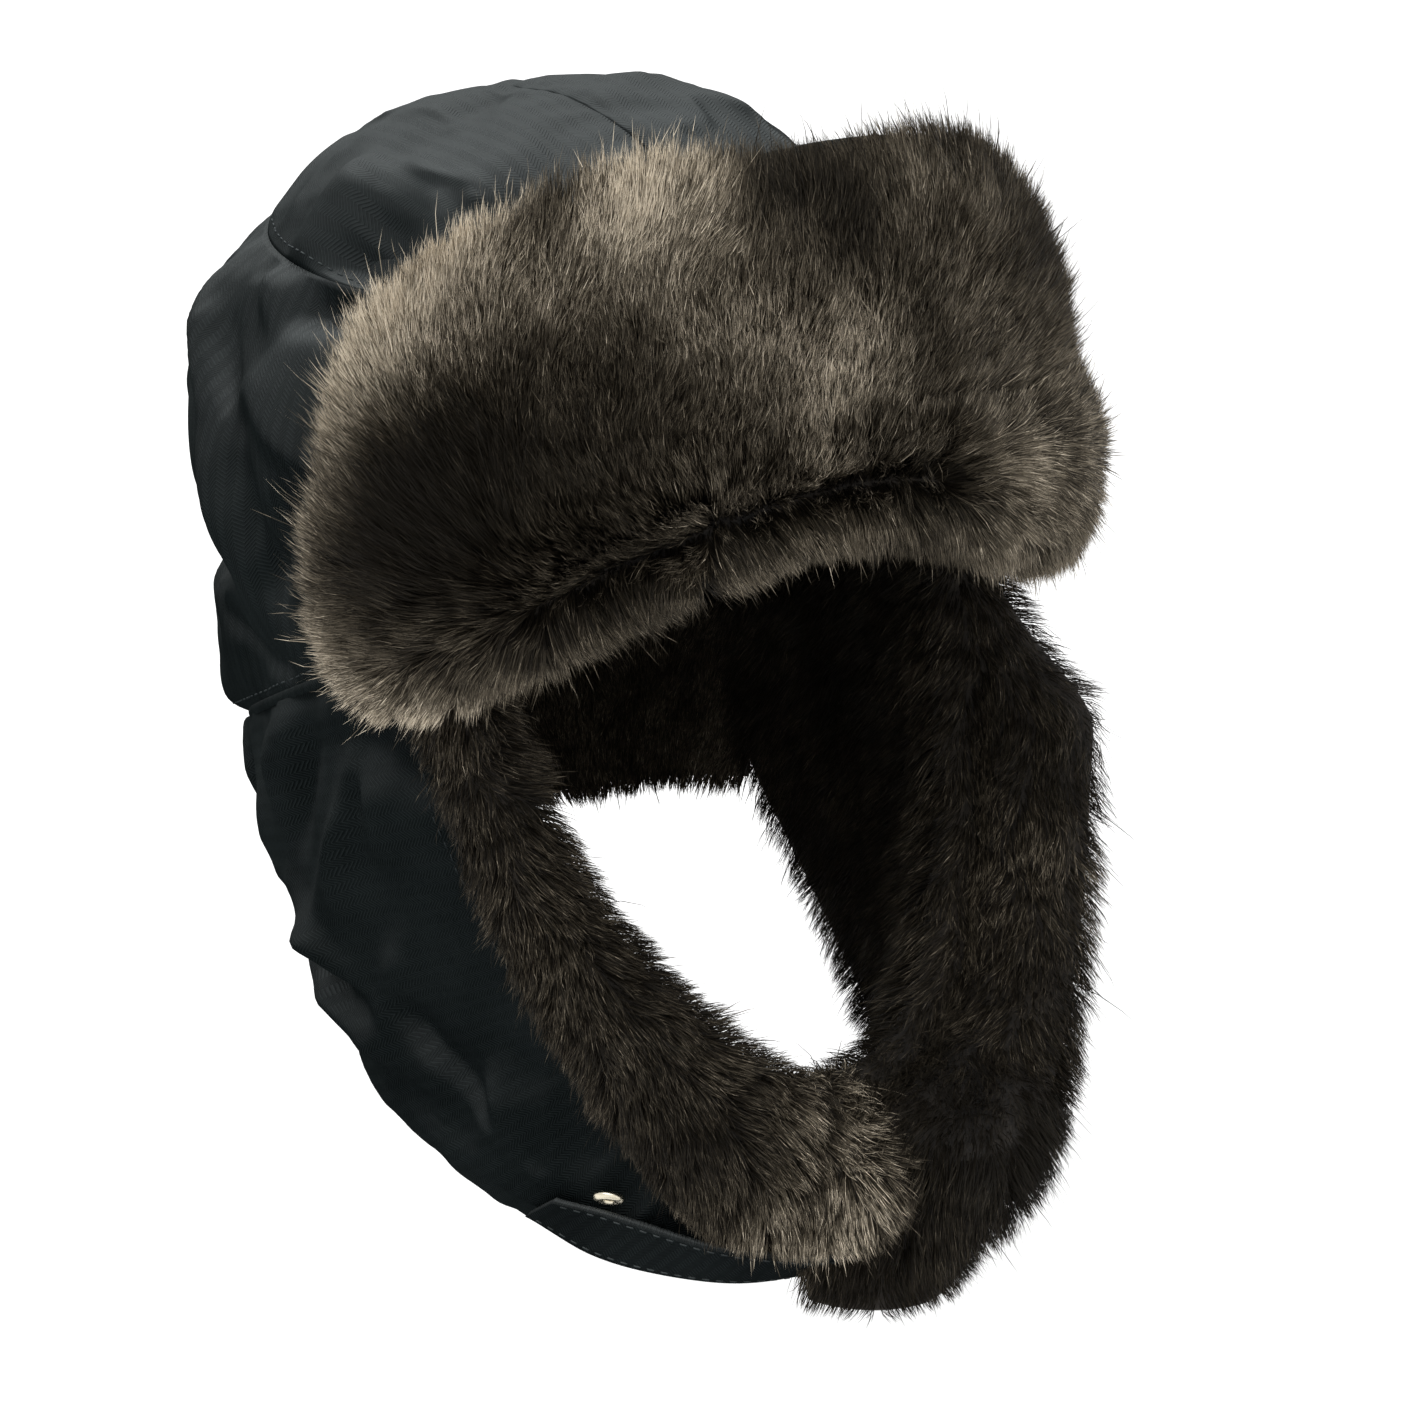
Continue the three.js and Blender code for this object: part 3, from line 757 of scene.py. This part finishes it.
def fitted(out):
    """Points of the fur's backing, its height fitted between the fur's own foot and top."""
    points = visor_point(u, v, out)
    points[..., 2] += blend_between(spline(VISOR_FUR_FOOT, u), spline(VISOR_FUR_TOP, u) - VISOR_TOP, v)
    return points


visor_face = fitted(VISOR_CORE + body_out)
core = slab("visor_fur_back", visor_face, fitted(VISOR_BACK_OUT), [BACKING])
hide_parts("visor_interlining", "visor_fur")
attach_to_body(core, "visor")

# The strands lie away from the parting: upwards above it, outwards past its ends, and down at the far end.
roots, normals, along, across, su, sv = roots_on(visor_face, VISOR_STRANDS, seed=31)
normals *= np.sign(np.sum(normals * np.array([0, -1, 0.0]), axis=1).mean())
sideways = (su - np.clip(su, PARTING_START, PARTING_END)) * VISOR_SPAN - 3
upward = (sv - PARTING_HEIGHT) * VISOR_TOP
fall = smooth(su, PARTING_END - 0.14, PARTING_END + 0.22) * (1 - smooth(sv, 0.1, 0.4))
comb = unit(along * (sideways * 0.6)[:, None] + across * (upward + np.sign(upward) * 4)[:, None])
comb = unit(comb + np.array([0, 0, -1.0]) * (1.6 * fall)[:, None])
tone = np.zeros(len(roots))
for along_share, up_share, radius, change in VISOR_TONES:
    apart = np.hypot((su - along_share) * VISOR_SPAN, (sv - up_share) * VISOR_TOP) / radius
    tone += change * np.exp(-apart ** 2)
near_parting = np.exp(-((upward / 14) ** 2))[:, None]
reach = VISOR_PILE * (1 - 0.32 * smooth(-upward, 0, 8)) + 2 * fall + 2 * near_parting[:, 0]
stand = 0.4 + 0.12 * smooth(np.abs(2 * sv - 1), 0.8, 1) - 0.15 * fall
pile("visor_pile", "visor", roots, normals, comb, reach, stand[:, None], seed=32, width=0.2, tone=tone,
     tuft=0.2 + 0.4 * near_parting)


# ---------------------------------------------------------------- flaps

def flap_place(side, u, front, back, across, tip="tip"):
    """A place between two outlines of a flap, as angle and height; the row at u = 0 follows the band line."""
    facts = SIDES[side]
    a, b = spline(front, u), spline(back, u)
    place = blend_between(a, b, across[..., None])
    heading = place[..., 0] + facts[tip] * smooth(u, TIP_START, 1)
    ceiling = band_line(heading) - 0.4
    level = np.minimum(place[..., 1], ceiling - 40 * u)
    level = blend_between(ceiling, level, smooth(u, 0, 0.06))
    return facts["sign"] * heading, level


def flap_shell(side):
    u, v = cells(81, 45)
    angle, z = flap_place(side, u, SHELL_FRONT, FLAP_BOTTOM, v)
    points, relief = panel(angle, z, u, v, FLAP_PUFF)
    curl = 1.5 * smooth(-z, 112, 150) * smooth(u, 0.5, 0.75)
    return points - unit(points * [1, 1, 0]) * curl[..., None], relief * SIDES[side]["crumple"]


def flap_fur(side, rows=101, columns=61):
    u, s = cells(rows, columns)
    facts = SIDES[side]
    share, out = np.moveaxis(spline(ROLL_SECTION, s), -1, 0)
    share = share * np.where(share > 0, 0.62 + 0.33 * smooth(u, 0.1, 0.6), 1)
    at_edge = (1 - smooth(s, 0, 0.24)) * smooth(u, 0.6, 0.9)
    share = share - facts["drop"] * at_edge
    in_roll_angle, in_roll_z = flap_place(side, u, SHELL_FRONT, FUR_FRONT, np.clip(share, 0, 1), "fur_tip")
    behind_angle, behind_z = flap_place(side, u, SHELL_FRONT, FLAP_BOTTOM, np.maximum(-share, 0), "fur_tip")
    angle = np.where(share >= 0, in_roll_angle, behind_angle)
    z = np.where(share >= 0, in_roll_z, behind_z)
    fullness = blend_between(facts["roll"] * smooth(u, 0.02, 0.26), facts["end"], smooth(u, 0.84, 0.95))
    out = np.minimum(out, 0) + np.maximum(out, 0) * fullness + facts["lift"] * at_edge
    out = out - facts["tuck"] * smooth(u, 0.86, 0.96)
    out = blend_between(out, TIP_OUT, smooth(u, 0.92, 1.02) / smooth(1.0, 0.92, 1.02))
    return hood(angle, z, out + lattice_noise(hood(angle, z, 0), 22, 41) * 0.9)


for order, side in enumerate(SIDES):
    body = f"{side}_flap"
    pad(f"{body}_cloth", *flap_shell(side), body, [f"{body}_shell", f"{body}_wadding"], FLAP_SWELL)
    face = flap_fur(side)
    inner = face - grid_normals(face) * 1.0
    base = slab(f"{body}_fur_back", face, inner, [BACKING])
    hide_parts(f"{body}_fur")
    attach(base, body)
    roots, normals, along, across, su, sv = roots_on(face, FLAP_STRANDS, seed=50 + order)
    outer = sv < ROLL_CREST
    normals *= np.sign(np.sum((normals * unit(roots * [1, 1, 0]))[outer], axis=1).mean())
    leaving = np.tanh((sv - ROLL_CREST) / 0.15)[:, None] * np.where(sv < ROLL_CREST, 0.15, 0.5)[:, None]
    in_lining = smooth(sv, 0.55, 0.75)[:, None]
    at_tip = smooth(su, 0.6, 0.86)[:, None]
    down = np.array([0, 0, -1.0]) * (0.5 + 0.9 * at_tip) * (1 - in_lining)
    comb = unit(across * leaving * (1 - 0.6 * in_lining) + along * (0.8 - 0.3 * at_tip) + down)
    bands = np.cos(su * 70 + lattice_noise(roots, 18, 44) * 2) * 1.2 * at_tip[:, 0]
    # Painted shade: the fur on the lining side, inside the flap, is darkened by 2.2 steps.
    tone = SIDES[side]["shade"] + lattice_noise(roots, 24, 45) * 1.7 + bands - 2.2 * in_lining[:, 0]
    # Painted light and shade: the near, right flap's tip is made paler as if lit, and the far, left flap's
    # tip darker as painted shade under the chin.
    tone += 3.0 * at_tip[:, 0] if side == "right" else 0.8 * smooth(-sv, -0.5, -0.1) - 2.6 * at_tip[:, 0]
    tone += 3.6 * np.exp(-((sv / 0.05) ** 2)) * (1 - at_tip[:, 0])
    reach = SIDES[side]["pile"] * (0.4 + 0.6 * smooth(sv, 0, 0.16))
    pile(f"{body}_pile", body, roots, normals, comb, reach, stand=0.5, seed=60 + order, width=0.21,
         tone=tone, tuft=0.4)


# ---------------------------------------------------------------- nape

def nape(bottom, rows=61, columns=31):
    u, v = cells(rows, columns)
    angle = blend_between(FLAP_REAR_ANGLE + 0.3, 360 - FLAP_REAR_ANGLE - 0.3, u)
    sag = NAPE_SAG * np.abs(np.cos(np.radians(angle)))
    z = blend_between(bottom - sag, band_line(angle) - 0.4, v)
    return angle, z, u, v


angle, z, u, v = nape(NAPE_BOTTOM)
pad("nape_cloth", *panel(np.where(angle > 180, angle - 360, angle), z, u, v, FLAP_PUFF), "crown",
    ["nape_shell", "nape_wadding"], FLAP_SWELL)
angle, z, u, v = nape(NAPE_BOTTOM + 1)
angle = 180 + (angle - 180) * 1.05
nape_face = hood(angle, z, NAPE_FUR_OUT)
base = slab("nape_fur_back", hood(angle, z, NAPE_BACK_OUT), nape_face, [BACKING])
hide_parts("nape_fur")
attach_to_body(base, "crown")
roots, normals, _, across, _, _ = roots_on(nape_face, NAPE_STRANDS, seed=71)
inwards = -unit(roots * [1, 1, 0])
normals *= np.sign(np.sum(normals * inwards, axis=1))[:, None]
pile("nape_pile", "crown", roots, normals, -across, NAPE_PILE, stand=0.4, seed=72, width=0.3, tone=-1.6)


# ---------------------------------------------------------------- strap

def strap_points(rows=121, columns=13):
    upper, lower = hood(*np.array(STRAP_UPPER).T), hood(*np.array(STRAP_LOWER).T)
    u, v = cells(rows, columns)
    points = blend_between(spline(lower, u), spline(upper, u), v[..., None])
    normals = grid_normals(points)
    normals *= np.sign(np.sum(normals * unit(points * [1, 1, 0.3]), axis=-1).mean())
    lifted = 2.2 * (1 - smooth(u, 0, 0.14)) * v + 0.5 * np.sin(u * 23) * (v - 0.5)
    return points + normals * lifted[..., None], normals


strap_face, strap_normals = strap_points()
strap = slab("strap_cloth", strap_face + strap_normals * STRAP_THICKNESS, strap_face, [STRAP])
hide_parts("chin_strap")
attach(strap, "strap")


# ---------------------------------------------------------------- stitching

def stitches(name, path, outwards, body, spacing=3.4, length=2.4, width=0.55, height=0.3):
    """A row of short raised threads along a path."""
    steps = np.linalg.norm(np.diff(path, axis=0), axis=1)
    reach = np.concatenate([[0], np.cumsum(steps)])
    places = np.arange(spacing, reach[-1] - spacing, spacing)
    at = np.stack([np.interp(places, reach, path[:, k]) for k in range(3)], -1)
    ahead = np.stack([np.interp(places + 0.5, reach, path[:, k]) for k in range(3)], -1)
    up = unit(np.stack([np.interp(places, reach, outwards[:, k]) for k in range(3)], -1))
    forward = unit(ahead - at)
    side = unit(np.cross(forward, up))
    shape = np.array([(-1, 0, -1), (-0.6, 1, 0), (-0.6, 0, 1), (-0.6, -1, 0),
                      (0.6, 1, 0), (0.6, 0, 1), (0.6, -1, 0), (1, 0, -1)])
    points = (at[:, None] + forward[:, None] * shape[None, :, :1] * length / 2
              + side[:, None] * shape[None, :, 1:2] * width / 2 + up[:, None] * shape[None, :, 2:] * height)
    pattern = [(0, 1, 2), (0, 2, 3), (0, 3, 1), (1, 4, 5, 2), (2, 5, 6, 3), (3, 6, 4, 1),
               (7, 5, 4), (7, 6, 5), (7, 4, 6)]
    faces = [tuple(8 * k + i for i in face) for k in range(len(places)) for face in pattern]
    piece = make_mesh(name, points, faces, [THREAD], np.zeros((len(places) * 8, 2)))
    attach(piece, body)


def seam_path(angle, z):
    """A path laid on the shell's cloth, with the directions out of it."""
    outer, inner = hood(angle, z, 25.0), hood(angle, z, -15.0)
    points, outwards = [], []
    for start, way in zip(outer * MM, unit(inner - outer)):
        found = [tree.ray_cast(Vector(start), Vector(way)) for tree in CLOTH]
        found = [hit for hit in found if hit[0] is not None]
        if found:
            nearest = min(found, key=lambda hit: hit[3])
            points.append(nearest[0])
            outwards.append(nearest[1])
    return np.array(points) / MM, np.array(outwards)


bpy.context.view_layer.update()
depsgraph = bpy.context.evaluated_depsgraph_get()
CLOTH = [BVHTree.FromObject(piece, depsgraph) for piece in SHELL_PIECES]

turn = np.linspace(-179, 179, 240)
stitches("stitches_top_seam", *seam_path(turn, top_seam(turn) + TOP_STITCHES_ABOVE), "crown")
stitches("stitches_band", *seam_path(turn, band_line(turn) + BAND_STITCHES_ABOVE), "crown")
for side, facts in SIDES.items():
    share = np.linspace(0.02, 0.97, 160)
    edge = flap_place(side, share, SHELL_FRONT, FLAP_BOTTOM, np.full(share.shape, 0.05))
    stitches(f"stitches_{side}_flap", *seam_path(edge[0], edge[1]), f"{side}_flap")
for edge_name, column in (("upper", -2), ("lower", 1)):
    edge = strap_face[:, column] + strap_normals[:, column] * (STRAP_THICKNESS + 0.05)
    stitches(f"stitches_strap_{edge_name}", edge, strap_normals[:, column], "strap")


# ---------------------------------------------------------------- snap

RING = [(1.2, -0.4), (1.2, 0.7), (1.4, 1.1), (2.0, 1.3), (2.9, 1.2), (3.5, 0.9), (3.8, 0.4), (3.7, -0.4)]
RING_PLACE, RING_TILT = (-50.5, -127.5, 3.6), 42


def snap_ring(segments=64):
    """The press stud's domed ring, turned from its section; it lies on the cloth where that curls under."""
    centre = hood(*RING_PLACE)
    out = unit((hood(RING_PLACE[0], RING_PLACE[1], 9) - centre) * [1, 1, 0])
    tilt = math.radians(RING_TILT)
    axis = unit(out * math.cos(tilt) + np.array([0, 0, -math.sin(tilt)]))
    first = unit(np.cross(axis, [0, 0, 1.0]))
    second = np.cross(axis, first)
    turns = np.linspace(0, 2 * math.pi, segments, endpoint=False)[:, None, None]
    radius, height = np.array(RING).T[..., None]
    points = centre + (first * np.cos(turns) + second * np.sin(turns)) * radius + axis * height
    steps = len(RING)
    number = np.arange(segments * steps).reshape(segments, steps)
    after, beside = np.roll(number, -1, 0), np.roll(number, -1, 1)
    faces = np.stack([number, beside, np.roll(after, -1, 1), after], -1).reshape(-1, 4)
    return make_mesh("snap_ring", points, faces.tolist(), [SNAP])


ring_piece = snap_ring()
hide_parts("snap_socket")
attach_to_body(ring_piece, "right_flap")
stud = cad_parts["snap_stud"]
stud.data.materials.clear()
stud.data.materials.append(SNAP)


# ---------------------------------------------------------------- stage

# The camera: its angles in degrees, its distance from the place it looks at and that place in metres, and
# its lens and sensor in millimetres.
CAMERA_AZIMUTH, CAMERA_ELEVATION, CAMERA_ROLL = -32, 20, 6
CAMERA_DISTANCE, CAMERA_AIM = 0.65, Vector((0.0065, -0.034, -0.027))
CAMERA_LENS, CAMERA_SENSOR = 66.6, 36

# Lights as (name, azimuth, elevation, spread, strength), and the even light all round.
SUNS = [("key", -62, 60, 40, 0.95), ("front", -12, 42, 50, 0.6), ("rim", 150, 48, 30, 3.0)]
SKY_COLOUR, SKY_STRENGTH = (1, 1, 1, 1), 1.0

FLOOR_HEIGHT, FLOOR_REACH, FLOOR_COLOUR = -300, 40000, (0.62, 0.62, 0.62, 1)


def direction(azimuth, elevation):
    """From the hat towards a place at an azimuth and an elevation, both in radians."""
    level = math.cos(elevation)
    return Vector((math.sin(azimuth) * level, -math.cos(azimuth) * level, math.sin(elevation)))


def camera():
    azimuth, elevation, roll = map(math.radians, (CAMERA_AZIMUTH, CAMERA_ELEVATION, CAMERA_ROLL))
    back = direction(azimuth, elevation)
    level = Vector((math.cos(azimuth), math.sin(azimuth), 0))
    upright = back.cross(level)
    right = level * math.cos(roll) - upright * math.sin(roll)
    up = level * math.sin(roll) + upright * math.cos(roll)
    cam = bpy.data.objects.new("camera", bpy.data.cameras.new("camera"))
    cam.data.lens = CAMERA_LENS
    cam.data.sensor_width = CAMERA_SENSOR
    turn = Matrix((right, up, back)).transposed().to_4x4()
    cam.matrix_world = Matrix.Translation(CAMERA_AIM + back * CAMERA_DISTANCE) @ turn
    bpy.context.scene.collection.objects.link(cam)
    bpy.context.scene.camera = cam


def sun(name, azimuth, elevation, spread, strength):
    """A soft light from far away, so that the floor is evenly lit."""
    light = bpy.data.objects.new(name, bpy.data.lights.new(name, "SUN"))
    light.data.angle = math.radians(spread)
    light.data.energy = strength
    back = direction(math.radians(azimuth), math.radians(elevation))
    light.rotation_mode = "QUATERNION"
    light.rotation_quaternion = back.to_track_quat("Z", "Y")
    bpy.context.scene.collection.objects.link(light)


def floor():
    signs = (-1, -1), (1, -1), (1, 1), (-1, 1)
    corners = [(x * FLOOR_REACH, y * FLOOR_REACH, FLOOR_HEIGHT) for x, y in signs]
    piece = make_mesh("floor", corners, [(0, 1, 2, 3)])
    n = Nodes("pale_floor")
    n.set(Base_Color=FLOOR_COLOUR, Roughness=0.9)
    piece.data.materials.append(n.mat)


camera()
floor()
for settings in SUNS:
    sun(*settings)
world = bpy.data.worlds.new("studio")
world.use_nodes = True
sky = world.node_tree.nodes["Background"].inputs
sky["Color"].default_value, sky["Strength"].default_value = SKY_COLOUR, SKY_STRENGTH
bpy.context.scene.world = world
bpy.context.scene.view_settings.view_transform = "Standard"
